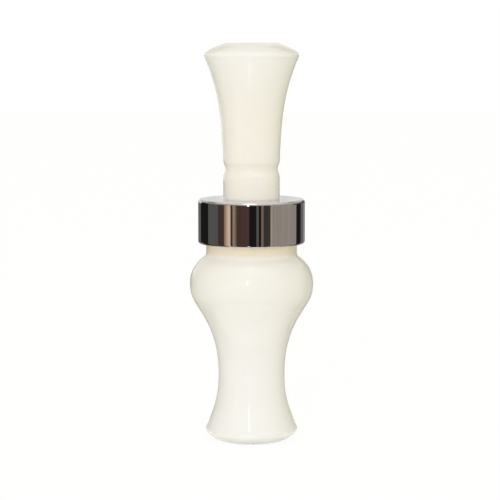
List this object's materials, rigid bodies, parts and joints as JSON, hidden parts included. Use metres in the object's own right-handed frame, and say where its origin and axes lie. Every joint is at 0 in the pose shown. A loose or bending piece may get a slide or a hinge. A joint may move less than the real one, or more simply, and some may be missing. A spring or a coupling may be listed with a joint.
{
  "type": "duck call",
  "caption": "Turned game call: flared mouthpiece barrel with a bulb and a plated band, and a bell-ended insert whose tone board, thin reeds and wedge sit in the barrel's bore.",
  "frame": {"origin": "on the call's axis at the crest of the mouthpiece's lip, at the bottom of the bounding box", "axes": "+Z along the axis from the mouthpiece up to the bell; the reeds lie on the tone board's front, towards -Y; +X to the right seen from the front"},
  "size_m": [0.0372, 0.0372, 0.12],
  "materials": {
    "barrel_acrylic": "polished ivory cast acrylic",
    "insert_acrylic": "polished ivory cast acrylic",
    "band_plating": "mirror-polished plating",
    "tone_board_polycarbonate": "moulded, semi-gloss",
    "reed_film": "polyester film",
    "cork": "sanded cork",
    "ring_rubber": "moulded rubber"
  },
  "bodies": {
    "barrel": {"barrel": "barrel_acrylic", "band": "band_plating"},
    "seals": {"front_o_ring": "ring_rubber", "rear_o_ring": "ring_rubber"},
    "insert": {"insert": "insert_acrylic", "tone_board": "tone_board_polycarbonate"},
    "wedge": {"wedge": "cork"},
    "lower_reed": {"lower_reed": "reed_film"},
    "upper_reed": {"upper_reed": "reed_film"}
  },
  "joints": [
    {"name": "insert_pull", "type": "slide", "parent": "barrel", "child": "seals", "axis": [0, 0, 1], "range_m": [0, 0.058]},
    {"name": "insert_turn", "type": "hinge", "parent": "seals", "child": "insert", "pos_m": [0, 0, 0.0733], "axis": [0, 0, 1], "continuous": true},
    {"name": "wedge_pull", "type": "slide", "parent": "insert", "child": "wedge", "axis": [0, 0, -1], "range_m": [0, 0.012]},
    {"name": "lower_reed_flex", "type": "hinge", "parent": "insert", "child": "lower_reed", "pos_m": [0, 0.001, 0.0443], "axis": [1, 0, 0], "range_deg": [-1.5, 3], "stiffness_Nm_per_rad": 0.006, "deforming": ["lower_reed"]},
    {"name": "upper_reed_flex", "type": "hinge", "parent": "insert", "child": "upper_reed", "pos_m": [0, 0.00075, 0.0443], "axis": [1, 0, 0], "range_deg": [-1.5, 3], "stiffness_Nm_per_rad": 0.006, "deforming": ["upper_reed"]}
  ],
  "couplings": [
    {"joint": "upper_reed_flex", "follows": "lower_reed_flex", "ratio": 1}
  ]
}
